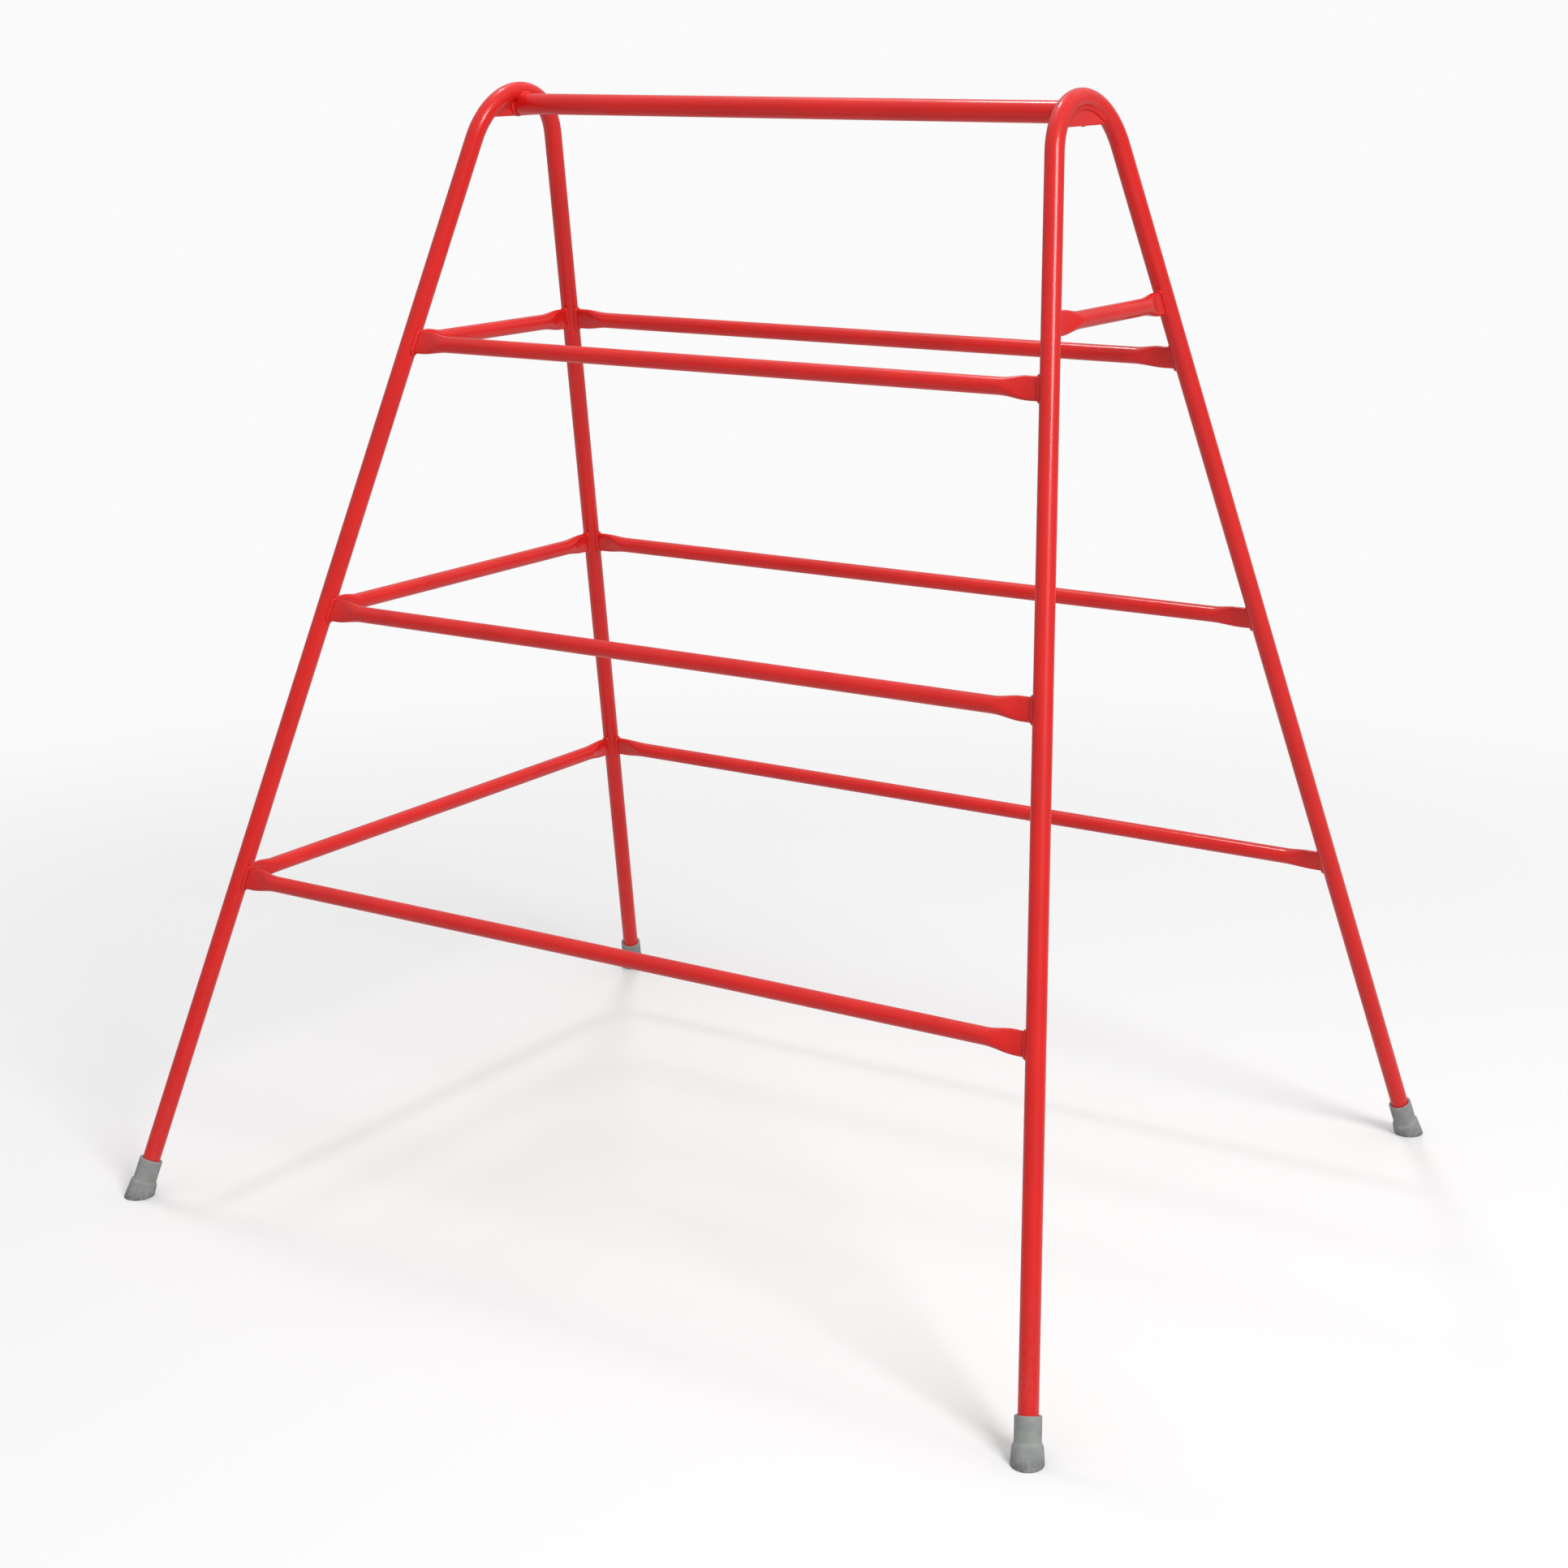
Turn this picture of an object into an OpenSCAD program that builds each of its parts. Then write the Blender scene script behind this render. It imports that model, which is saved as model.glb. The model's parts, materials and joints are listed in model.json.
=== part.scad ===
// Nesting climbing trestle: two bent tube hoops that lean apart, joined by rails, on four rubber feet.
// The left end is closed by three bars. The right end has one high bar, so that another trestle nests in it.
// X runs along the top rail, Y from front to back, and Z up. The origin is on the floor, below the middle.

/* [Overall size] */
// Height of the top of the hoops above the floor
stand_height = 1370; // [1150:10:1700]
// Distance between the left and right feet, centre to centre
stand_length = 1285; // [1100:5:1600]
// Distance between the front and back feet, centre to centre
stand_depth = 1064; // [880:2:1300]
// Angle by which each hoop leans in towards the middle, in degrees
hoop_lean = 10.3; // [8:0.1:13]
// Radius of the bend over the top of a hoop, to the middle of the tube
crown_bend_r = 84; // [60:1:110]

/* [Tubes] */
// Outer diameter of the hoop tube
hoop_d = 22.2; // [18:0.1:28]
// Wall of the hoop tube
hoop_wall = 1.6; // [1.2:0.1:2.5]
// Outer diameter of the top rail
top_rail_d = 25.4; // [20:0.1:32]
// Wall of the top rail
top_rail_wall = 1.6; // [1.2:0.1:2.5]
// Outer diameter of the side rails and of the end bars
rail_d = 20; // [16:0.5:25]
// Wall of the side rails and of the end bars
rail_wall = 1.5; // [1.2:0.1:2]

/* [Rail heights] */
// How far the middle of the top rail lies below the middle of the hoop tube at its top
top_rail_drop = 16; // [14:0.5:20]
// Drop from the top rail to the bar across the open end
open_bar_drop = 219; // [190:1:260]
// Drop from the top rail to the high rails
high_drop = 285; // [270:1:340]
// Drop from the top rail to the middle rails
mid_drop = 611; // [520:1:640]
// Drop from the top rail to the low rails
low_drop = 942; // [780:1:980]

/* [Crown plates] */
// Thickness of the plate that fills the top of each hoop and closes the end of the top rail
crown_plate_t = 4; // [3:0.5:6]
// How far each crown plate reaches below the top rail
crown_plate_lip = 1.5; // [0.5:0.5:4]

/* [Flattened ends] */
// Thickness of a rail's squashed end
flat_t = 6.5; // [5:0.5:9]
// Length of the squashed end, from the weld
flat_length = 14; // [8:1:24]
// Length over which the squashed end becomes round again
flat_taper = 36; // [26:1:50]
// Leg length of the weld fillet around a squashed end
weld_leg = 3.2; // [2:0.1:4]

/* [Feet] */
// Height of a foot, along its leg
foot_height = 50; // [45:1:70]
// Wall of the foot's sleeve
foot_wall = 3.3; // [2.5:0.1:5]
// How much wider than the sleeve the base of the foot is, all round
foot_flare = 3.6; // [2.5:0.1:7]
// Height of the flared base, along the leg
foot_base_height = 18; // [14:1:30]
// Thinnest rubber below the washer
foot_sole_t = 6; // [4:0.5:9]
// Gap between the leg tube and the foot's socket, all round
foot_clearance = 0.1; // [0.1:0.05:0.3]
// Thickness of the steel washer in the bottom of each socket
washer_t = 2; // [1.5:0.5:3]
// Diameter of the hole in the washer
washer_hole_d = 8; // [5:0.5:10]

/* [Hidden] */
$fn = 64;
hoop_r = hoop_d / 2;
rail_r = rail_d / 2;
top_rail_r = top_rail_d / 2;
powder_red = [0.78, 0.12, 0.10];
foot_grey = [0.55, 0.56, 0.55];
bare_steel = [0.70, 0.71, 0.73];

// A hoop lies in its own leaning plane. There the floor is at 0 and the bend's centre is bend_up above it.
crown_z = stand_height - hoop_r;
bend_up = crown_z / cos(hoop_lean) - crown_bend_r;
foot_to_bend = sqrt(pow(stand_depth / 2, 2) + pow(bend_up, 2));
// Angle of a leg in that plane, from the condition that the leg runs tangent into the bend
leg_angle = acos(crown_bend_r / foot_to_bend) - atan2(bend_up, stand_depth / 2);
leg_length = sqrt(pow(foot_to_bend, 2) - pow(crown_bend_r, 2));
// Angle between a leg and the vertical, and the angles seen from the front and from the side
leg_tilt = acos(cos(hoop_lean) * cos(leg_angle));
leg_slope_side = atan(tan(leg_angle) / cos(hoop_lean));

// Middle of a leg tube at height z, as a distance from the middle of the stand
function leg_x(z) = stand_length / 2 - z * tan(hoop_lean);
function leg_y(z) = stand_depth / 2 - z / cos(hoop_lean) * tan(leg_angle);

top_rail_z = crown_z - top_rail_drop;
open_bar_z = top_rail_z - open_bar_drop;
high_z = top_rail_z - high_drop;
mid_z = top_rail_z - mid_drop;
low_z = top_rail_z - low_drop;

// Lower edge of a crown plate, measured in the hoop's own plane
crown_plate_low = (top_rail_z - top_rail_r - crown_plate_lip) / cos(hoop_lean);

// A leg crosses the flat of a long rail, or of an end bar, at these angles
rail_skew = asin(sin(hoop_lean) * cos(leg_angle));
bar_skew = asin(sin(leg_angle));

// The socket's bottom lies above the sloping cut of the sole, and the washer and the leg stand on it
socket_r = hoop_r + foot_clearance;
socket_floor = tan(leg_tilt) * socket_r + foot_sole_t;
leg_start = socket_floor + washer_t;
sleeve_r = socket_r + foot_wall;
base_r = sleeve_r + foot_flare;
base_shoulder = 5;
rim_round = 1.2;
washer_r = hoop_r - 0.4;

// A collar this much proud, inside and out, runs over the seam between a leg and the bend
seam_proud = 0.2;
seam_half = 2;
seam_gap = 0.5;

// A squashed end's wall laps this far into the round tube's wall, and lies this far inside its surfaces
lap_length = 2;
lap_outside = 0.15;
lap_inside = 0.3;
ring_points = 16;
weld_inside = 4;

LEFT = -1;
RIGHT = 1;
FRONT = -1;
BACK = 1;

// ---- Hoops ----

// Puts a shape drawn in a hoop's own plane, with X across and Y up, where that hoop stands
module in_hoop_plane(side) {
    translate([side * stand_length / 2, 0, 0])
        rotate([0, -side * hoop_lean, 0])
            rotate([90, 0, 90])
                children();
}

// Puts a shape drawn along +Z, with the floor at 0, on a leg's centre line
module on_leg(side, face) {
    in_hoop_plane(side)
        translate([face * stand_depth / 2, 0, 0])
            rotate([0, 0, face * leg_angle])
                rotate([-90, 0, 0])
                    children();
}

module ring_profile(outer_r, wall) {
    difference() {
        circle(r = outer_r);
        circle(r = outer_r - wall);
    }
}

module hoop_leg(side, face) {
    on_leg(side, face) {
        translate([0, 0, leg_start])
            linear_extrude(height = leg_length - leg_start - seam_gap)
                ring_profile(hoop_r, hoop_wall);
        translate([0, 0, leg_length - seam_half])
            linear_extrude(height = 2 * seam_half)
                ring_profile(hoop_r + seam_proud, hoop_wall + 2 * seam_proud);
    }
}

module hoop_bend(side) {
    in_hoop_plane(side)
        translate([0, bend_up, 0])
            rotate([0, 0, leg_angle])
                rotate_extrude(angle = 180 - 2 * leg_angle)
                    translate([crown_bend_r, 0])
                        ring_profile(hoop_r, hoop_wall);
}

module hoop(side) {
    color(powder_red)
        union() {
            hoop_bend(side);
            hoop_leg(side, FRONT);
            hoop_leg(side, BACK);
        }
}

// The space that a leg tube takes, for trimming what is welded to it
module leg_space(side, face) {
    on_leg(side, face)
        cylinder(r = hoop_r, h = leg_length);
}

module bend_space(side) {
    in_hoop_plane(side)
        translate([0, bend_up, 0])
            rotate([0, 0, leg_angle])
                rotate_extrude(angle = 180 - 2 * leg_angle)
                    translate([crown_bend_r, 0])
                        circle(r = hoop_r);
}

// ---- Crown plates ----

// Fills the bend from its tube down to just below the top rail, in the hoop's own plane
module crown_plate(side) {
    below_bend_top = crown_z / cos(hoop_lean) - crown_plate_low;
    color(powder_red)
        difference() {
            in_hoop_plane(side)
                translate([0, 0, -crown_plate_t / 2])
                    linear_extrude(height = crown_plate_t)
                        intersection() {
                            translate([0, bend_up])
                                circle(r = crown_bend_r);
                            translate([-crown_bend_r, crown_plate_low])
                                square([2 * crown_bend_r, below_bend_top]);
                        }
            bend_space(side);
        }
}

// Everything from a crown plate's inner face outwards, for trimming the top rail
module beyond_plate(side) {
    room = 4 * top_rail_d;
    in_hoop_plane(side)
        translate([0, bend_up + crown_bend_r, side * (room - crown_plate_t) / 2])
            cube(room, center = true);
}

// ---- Top rail ----

// The ends are notched to fit under the bends, and butt against the crown plates
module top_rail() {
    half_length = leg_x(top_rail_z - top_rail_r);
    color(powder_red)
        difference() {
            translate([-half_length, 0, top_rail_z])
                rotate([90, 0, 90])
                    linear_extrude(height = 2 * half_length)
                        ring_profile(top_rail_r, top_rail_wall);
            for (side = [LEFT, RIGHT]) {
                bend_space(side);
                beyond_plate(side);
            }
        }
}

// ---- Side rails and end bars ----

// Half the straight stretch between the two round ends of a tube squashed to thickness t
function squash_half(t) = PI * (rail_d - t) / 4;

// One ring around a rail at distance z from the leg, squashed to thickness t. grow moves it out, or in
// where it is negative. skew tips the ring so that it lies along the leg.
function squashed_ring(z, t, grow, skew) = [
    for (i = [0 : ring_points - 1])
        let (
            a = 360 * i / ring_points,
            shift = i % (ring_points / 2) == 0 ? 0 : sign(sin(a)) * squash_half(t),
            y = (t / 2 + grow) * sin(a) + shift
        )
        [(t / 2 + grow) * cos(a), y, z + y * tan(skew)]
];

// Thickness part way along the taper, from flat at 0 to round at 1, with smooth ends
function taper_t(f) = flat_t + (rail_d - flat_t) * (1 - cos(180 * f)) / 2;

// Rings from inside the leg, over the weld and the squashed end, to the round tube. Each entry is
// [distance from the leg, thickness, growth of the outside, growth of the inside, share of the skew].
end_rings = [
    [-weld_inside, flat_t, weld_leg, -rail_wall, 1],
    [0, flat_t, weld_leg, -rail_wall, 1],
    [weld_leg, flat_t, 0, -rail_wall, 1],
    [flat_length, flat_t, 0, -rail_wall, 1],
    for (f = [0.3, 0.55, 0.8]) [flat_length + f * flat_taper, taper_t(f), 0, -rail_wall, 1 - f],
    [flat_length + flat_taper + lap_length, rail_d, -lap_outside, lap_inside - rail_wall, 0]
];

// Two triangles for each side of each band between rings first, first + 1 and so on
function band_faces(first, count, inward) = [
    for (k = [0 : count - 2], i = [0 : ring_points - 1])
        let (
            j = (i + 1) % ring_points,
            a = (first + k) * ring_points,
            b = a + ring_points,
            near = [a + i, b + i, b + j],
            far = [a + i, b + j, a + j]
        )
        each inward ? [[near[2], near[1], near[0]], [far[2], far[1], far[0]]] : [near, far]
];

function cap_faces(outer, inner, facing_back) = [
    for (i = [0 : ring_points - 1])
        let (
            j = (i + 1) % ring_points,
            o = outer * ring_points,
            n = inner * ring_points
        )
        each facing_back
            ? [[o + i, o + j, n + j], [o + i, n + j, n + i]]
            : [[o + j, o + i, n + j], [n + j, o + i, n + i]]
];

// The squashed end of a rail, hollow, along +Z from the leg's surface
module squashed_end(skew) {
    count = len(end_rings);
    outer = [for (r = end_rings) each squashed_ring(r[0], r[1], r[2], r[4] * skew)];
    inner = [for (r = end_rings) each squashed_ring(r[0], r[1], r[3], r[4] * skew)];
    polyhedron(
        points = concat(outer, inner),
        faces = concat(
            band_faces(0, count, false),
            band_faces(count, count, true),
            cap_faces(0, count, true),
            cap_faces(count - 1, 2 * count - 1, false)
        )
    );
}

// A rail along Z whose middle is at 0, between legs whose centre lines are span apart
module squashed_rail(span, skew) {
    leg_reach = hoop_r / cos(skew);
    round_half = span / 2 - leg_reach - flat_length - flat_taper;
    translate([0, 0, -round_half])
        linear_extrude(height = 2 * round_half)
            ring_profile(rail_r, rail_wall);
    for (end = [0, 1])
        mirror([0, 0, end])
            translate([0, 0, -span / 2 + leg_reach])
                squashed_end(skew);
}

// A long rail at height z on the front or the back, trimmed to the legs it is welded to
module side_rail(face, z) {
    color(powder_red)
        difference() {
            translate([0, face * leg_y(z), z])
                rotate([face * leg_slope_side, 0, 0])
                    rotate([90, 0, 90])
                        squashed_rail(2 * leg_x(z), rail_skew);
            leg_space(LEFT, face);
            leg_space(RIGHT, face);
        }
}

// A bar at height z across the left or the right end, trimmed to the legs it is welded to
module end_bar(side, z) {
    color(powder_red)
        difference() {
            translate([side * leg_x(z), 0, z])
                rotate([0, -side * hoop_lean, 0])
                    rotate([90, 0, 0])
                        squashed_rail(2 * leg_y(z), bar_skew);
            leg_space(side, FRONT);
            leg_space(side, BACK);
        }
}

// ---- Feet ----

// Half section of a foot around its leg, with room below the floor for the sloping cut
module foot_profile() {
    below = tan(leg_tilt) * base_r + 1;
    shoulder_top = foot_base_height + base_shoulder;
    polygon([
        [0, -below],
        [base_r, -below],
        [base_r - 0.4 * foot_flare, foot_base_height],
        [sleeve_r, shoulder_top],
        [sleeve_r, foot_height - rim_round],
        [sleeve_r - rim_round, foot_height],
        [socket_r, foot_height],
        [socket_r, socket_floor],
        [0, socket_floor]
    ]);
}

// A moulded rubber foot, cut level with the floor
module foot(side, face) {
    room = 4 * base_r;
    color(foot_grey)
        difference() {
            on_leg(side, face)
                rotate_extrude()
                    foot_profile();
            translate([side * stand_length / 2, face * stand_depth / 2, -room / 2])
                cube(room, center = true);
        }
}

// The steel washer that keeps the tube from cutting through the rubber
module washer(side, face) {
    color(bare_steel)
        on_leg(side, face)
            translate([0, 0, socket_floor])
                linear_extrude(height = washer_t)
                    ring_profile(washer_r, washer_r - washer_hole_d / 2);
}

hoop(LEFT);  // left_hoop
hoop(RIGHT);  // right_hoop
crown_plate(LEFT);  // left_crown_plate
crown_plate(RIGHT);  // right_crown_plate
top_rail();
side_rail(FRONT, low_z);  // front_rail_low
side_rail(FRONT, mid_z);  // front_rail_mid
side_rail(FRONT, high_z);  // front_rail_high
side_rail(BACK, low_z);  // back_rail_low
side_rail(BACK, mid_z);  // back_rail_mid
side_rail(BACK, high_z);  // back_rail_high
end_bar(LEFT, low_z);  // left_bar_low
end_bar(LEFT, mid_z);  // left_bar_mid
end_bar(LEFT, high_z);  // left_bar_high
end_bar(RIGHT, open_bar_z);  // right_bar
foot(LEFT, FRONT);  // foot_front_left
foot(RIGHT, FRONT);  // foot_front_right
foot(LEFT, BACK);  // foot_back_left
foot(RIGHT, BACK);  // foot_back_right
washer(LEFT, FRONT);  // washer_front_left
washer(RIGHT, FRONT);  // washer_front_right
washer(LEFT, BACK);  // washer_back_left
washer(RIGHT, BACK);  // washer_back_right
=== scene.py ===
import json
from math import atan, cos, hypot, pi, radians, sin, sqrt, tan

import bmesh
import bpy
from mathutils import Matrix, Vector


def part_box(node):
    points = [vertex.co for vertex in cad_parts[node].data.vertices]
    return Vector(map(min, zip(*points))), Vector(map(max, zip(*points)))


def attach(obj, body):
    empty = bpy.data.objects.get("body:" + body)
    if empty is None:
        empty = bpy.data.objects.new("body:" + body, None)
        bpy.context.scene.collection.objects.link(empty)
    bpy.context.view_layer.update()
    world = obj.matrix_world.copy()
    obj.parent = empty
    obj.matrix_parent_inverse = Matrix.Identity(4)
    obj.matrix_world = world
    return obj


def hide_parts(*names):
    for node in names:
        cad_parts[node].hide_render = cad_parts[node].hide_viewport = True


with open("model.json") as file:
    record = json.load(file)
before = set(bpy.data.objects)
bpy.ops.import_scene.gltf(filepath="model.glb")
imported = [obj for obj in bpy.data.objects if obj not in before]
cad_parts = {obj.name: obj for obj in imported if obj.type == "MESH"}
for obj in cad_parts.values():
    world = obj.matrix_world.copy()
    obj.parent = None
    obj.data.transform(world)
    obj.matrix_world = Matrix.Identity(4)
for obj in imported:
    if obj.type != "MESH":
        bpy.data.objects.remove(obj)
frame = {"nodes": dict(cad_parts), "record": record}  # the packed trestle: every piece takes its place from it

bl_info = {
    "name": "Nesting climbing trestle",
    "version": (1, 0, 0),
    "blender": (4, 5, 0),
    "location": "3D View > Sidebar > Trestle",
    "description": "Builds a welded tube climbing trestle on rubber feet, around its packed frame",
    "category": "Object",
}

LEFT, RIGHT = -1, 1
FRONT, BACK = -1, 1
SIDE_WORD = {LEFT: "left", RIGHT: "right"}
FACE_WORD = {FRONT: "front", BACK: "back"}
LEVELS = ("low", "mid", "high")
UP = Vector((0, 0, 1))
COAT_SLOT, RUBBER_SLOT = "red_powder_coat", "grey_rubber"
BASE_DRAFT = 0.4  # share of a foot's flare that its base loses from the floor to the shoulder
SEAM_PROUD = 0.00015  # how far the mould's parting line stands out
TREADS = (7, 3)  # where the sole's ring grooves lie, in groove widths inside its edge
GROOVE_SLOPE = 0.2  # run of a groove's wall, as a share of its width
NO_TAPER = 1e-6  # taper of a closed bead, too short to show
SADDLE_REACH = radians(62)  # how far the saddle bead runs down each side of the top rail
CLEAR_OF_BEND = 0.4  # share of the feet's distance from the middle where the top rail is clear of the bend
HALVINGS = 40  # steps of the search for the bend's surface
SENSOR_W = 36.0
# Lights, in metres from the stand's middle on the floor
KEY_PLACE, KEY_SIZE = Vector((4.9, -2.1, 5.1)), 2.2
TOP_PLACE, TOP_SIZE = Vector((-0.78, 0.66, 3.4)), 0.32


def middle(node):
    """The middle of a CAD node's box."""
    low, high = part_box(node)
    return (low + high) / 2


def box_size(node):
    low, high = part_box(node)
    return high - low


def mount_point(name):
    return Vector(next(m["pos_m"] for m in frame["record"]["mounts"] if m["name"] == name))


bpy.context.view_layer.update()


# ---- Sizes and colours that a user would change ----


def length(name, description, default):
    """A length in metres, as a property."""
    return bpy.props.FloatProperty(
        name=name, description=description, default=default, min=0.0, precision=4, unit="LENGTH",
        subtype="DISTANCE",
    )


def share(name, description, default, highest=1.0):
    return bpy.props.FloatProperty(name=name, description=description, default=default, min=0.0, max=highest)


def colour(name, description, default):
    return bpy.props.FloatVectorProperty(
        name=name, description=description, default=default, size=3, min=0.0, max=1.0, subtype="COLOR"
    )


def tilt(name, description, degrees):
    return bpy.props.FloatProperty(
        name=name, description=description, default=radians(degrees), subtype="ANGLE"
    )


def light_power(name, description, watts):
    return bpy.props.FloatProperty(name=name, description=description, default=watts, unit="POWER")


class TrestleTubes(bpy.types.PropertyGroup):
    """Tubes, squashed ends and crown plates."""

    hoop_d: length("Hoop tube", "Outer diameter of the hoop tube", 0.0222)
    top_rail_d: length("Top rail", "Outer diameter of the top rail", round(box_size("top_rail").y, 4))
    rail_d: length("Rails", "Outer diameter of rails and end bars", round(box_size("front_rail_mid").y, 4))
    flat_t: length("Squashed thickness", "Thickness of a rail's squashed end", 0.0065)
    flat_length: length("Squashed length", "Length of the squashed end, from the weld", 0.014)
    flat_taper: length("Taper", "Length over which a squashed end becomes round again", 0.036)
    leg_start: length("Leg start", "Where a leg tube starts, above the floor along the leg", 0.0124)
    plate_t: length("Crown plate", "Thickness of the plate in the top of each hoop", 0.004)
    plate_edge: length("Plate edge", "Rounding of a crown plate's lower edge", 0.0007)
    sides: bpy.props.IntProperty(name="Sides", description="Sides of each tube", default=48, min=12, max=96)


class TrestleWelds(bpy.types.PropertyGroup):
    """Weld beads under the coating."""

    bead_r: length("Bead", "Radius of a weld bead", 0.0030)
    ripple_pitch: length("Ripple pitch", "Distance between a bead's ripples", 0.0034)
    ripple_depth: share("Ripple depth", "Height of the ripples, as a share of the bead", 0.06, 0.5)
    sink: length("Sink", "How deep a tube's end goes into what it is welded to", 0.0012)


class TrestleFeet(bpy.types.PropertyGroup):
    """Moulded rubber feet. Heights run along the leg from the floor."""

    height: length("Height", "Height of a foot", 0.050)
    wall: length("Sleeve wall", "Rubber around the leg tube", 0.0033)
    clearance: length("Clearance", "Gap between the leg tube and the socket", 0.0001)
    flare: length("Flare", "How much wider the base is than the sleeve, all round", 0.0036)
    base_height: length("Base height", "Height of the flared base", 0.018)
    shoulder: length("Shoulder", "Height of the slope between the base and the sleeve", 0.005)
    socket_floor: length("Socket floor", "Height of the socket's bottom", 0.0104)
    rim: length("Rim", "Rounding of the sleeve's top", 0.0012)
    sole_edge: length("Sole edge", "Rounding of the sole's edge", 0.0009)
    groove: length("Tread groove", "Width and depth of the rings in the sole", 0.0012)


class TrestleFinishes(bpy.types.PropertyGroup):
    """Colours and gloss."""

    coat_red: colour("Powder red", "Colour of the powder coat", (0.76, 0.011, 0.008))
    coat_shade: colour("Thin red", "Darker tone in the coat's mottling", (0.56, 0.006, 0.006))
    coat_gloss: share("Coat gloss", "Weight of the coat's glossy skin", 0.4)
    rubber_grey: colour("Rubber grey", "Colour of the feet", (0.325, 0.335, 0.325))
    rubber_shade: colour("Rubber shade", "Darker tone in the rubber", (0.24, 0.25, 0.245))
    floor_dust: colour("Dust", "Colour of the dust near the floor", (0.42, 0.40, 0.37))
    # Painted shade: a near-black colour that darkens the lower edge of each foot, where the contact shadow
    # falls
    painted_foot_shade: colour("Painted_foot_shade", "Colour of the grime on the lower edge of the feet", (0.085, 0.085, 0.080))
    plated_steel: colour("Plated steel", "Colour of the washers", (0.62, 0.63, 0.65))
    backdrop: colour("Backdrop", "Colour of the floor and of the air behind", (0.96, 0.96, 0.96))


class TrestleStudio(bpy.types.PropertyGroup):
    """Camera and lights. The camera's place is given in heights of the top rail."""

    lens: bpy.props.FloatProperty(
        name="Lens", description="Focal length for a 36 mm sensor", default=65.0, unit="CAMERA"
    )
    camera_place: bpy.props.FloatVectorProperty(
        name="Camera place", description="Place of the camera, in heights of the top rail",
        default=(1.407, -2.141, 1.083),
    )
    heading: tilt("Heading", "Turn of the view to the left of straight ahead", 33.37)
    pitch: tilt("Pitch", "Tilt of the view below level", 15.29)
    roll: tilt("Roll", "Turn of the camera about its lens", -0.365)
    key_power: light_power("Key light", "Power of the key light", 250.0)
    top_power: light_power("Top light", "Power of the top light", 15.0)
    air_light: share("Air light", "Strength of the light from all round", 0.58, 4.0)


PROPERTY_GROUPS = {
    "trestle_tubes": TrestleTubes,
    "trestle_welds": TrestleWelds,
    "trestle_feet": TrestleFeet,
    "trestle_finishes": TrestleFinishes,
    "trestle_studio": TrestleStudio,
}


# ---- Lines of the stand ----


class Stand:
    """The stand's lines, measured on the frame: where the legs meet the floor, the hoops' leaning planes,
    their legs and their bends."""

    def __init__(self, hoop_r):
        floor_point = mount_point("sole_back_right")
        low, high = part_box("right_hoop")
        self.foot_x, self.foot_y = floor_point.x, floor_point.y
        self.crown_z = high.z - hoop_r
        self.lean = atan((self.foot_x - low.x - hoop_r) / self.crown_z)
        rail = middle("back_rail_mid")
        self.leg_angle = atan((self.foot_y - rail.y) * cos(self.lean) / rail.z)
        crown_up = self.crown_z / cos(self.lean)
        leg_sin, leg_cos = sin(self.leg_angle), cos(self.leg_angle)
        self.bend_r = (self.foot_y * leg_cos - crown_up * leg_sin) / (1 - leg_sin)
        self.bend_up = crown_up - self.bend_r
        self.hoop_r = hoop_r

    def plane_up(self, side):
        """The direction up in a hoop's plane."""
        return Vector((-side * sin(self.lean), 0, cos(self.lean)))

    def plane_out(self, side):
        """The direction square to a hoop's plane, away from the middle of the stand."""
        return Vector((side * cos(self.lean), 0, sin(self.lean)))

    def in_plane(self, side, across, up, out=0.0):
        """A point in a hoop's plane: across towards the back, up along the plane and out from it."""
        base = Vector((side * self.foot_x, across, 0))
        return base + up * self.plane_up(side) + out * self.plane_out(side)

    def leg_direction(self, side, face):
        return self.plane_up(side) * cos(self.leg_angle) + Vector((0, -face * sin(self.leg_angle), 0))

    def on_leg(self, side, face, along):
        """The point of a leg's centre line at this distance from the floor."""
        return self.in_plane(side, face * self.foot_y, 0) + along * self.leg_direction(side, face)

    def leg_at_height(self, side, face, z):
        return self.on_leg(side, face, z / self.leg_direction(side, face).z)

    def bend_gap(self, side, point):
        """How far a point lies outside the surface of a hoop's bend."""
        arm = point - self.in_plane(side, 0, self.bend_up)
        out = arm.dot(self.plane_out(side))
        reach = hypot(arm.y, arm.dot(self.plane_up(side)))
        return hypot(reach - self.bend_r, out) - self.hoop_r


# ---- Node trees ----


class Amount:
    """A number on its way through a node tree. Sums with it add Math nodes."""

    def __init__(self, graph, socket):
        self.graph, self.socket = graph, socket

    def __add__(self, other):
        return self.graph.maths("ADD", self, other)

    def __sub__(self, other):
        return self.graph.maths("SUBTRACT", self, other)

    def __rsub__(self, other):
        return self.graph.maths("SUBTRACT", other, self)

    def __mul__(self, other):
        return self.graph.maths("MULTIPLY", self, other)

    def __truediv__(self, other):
        return self.graph.maths("DIVIDE", self, other)

    __radd__, __rmul__ = __add__, __mul__


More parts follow.
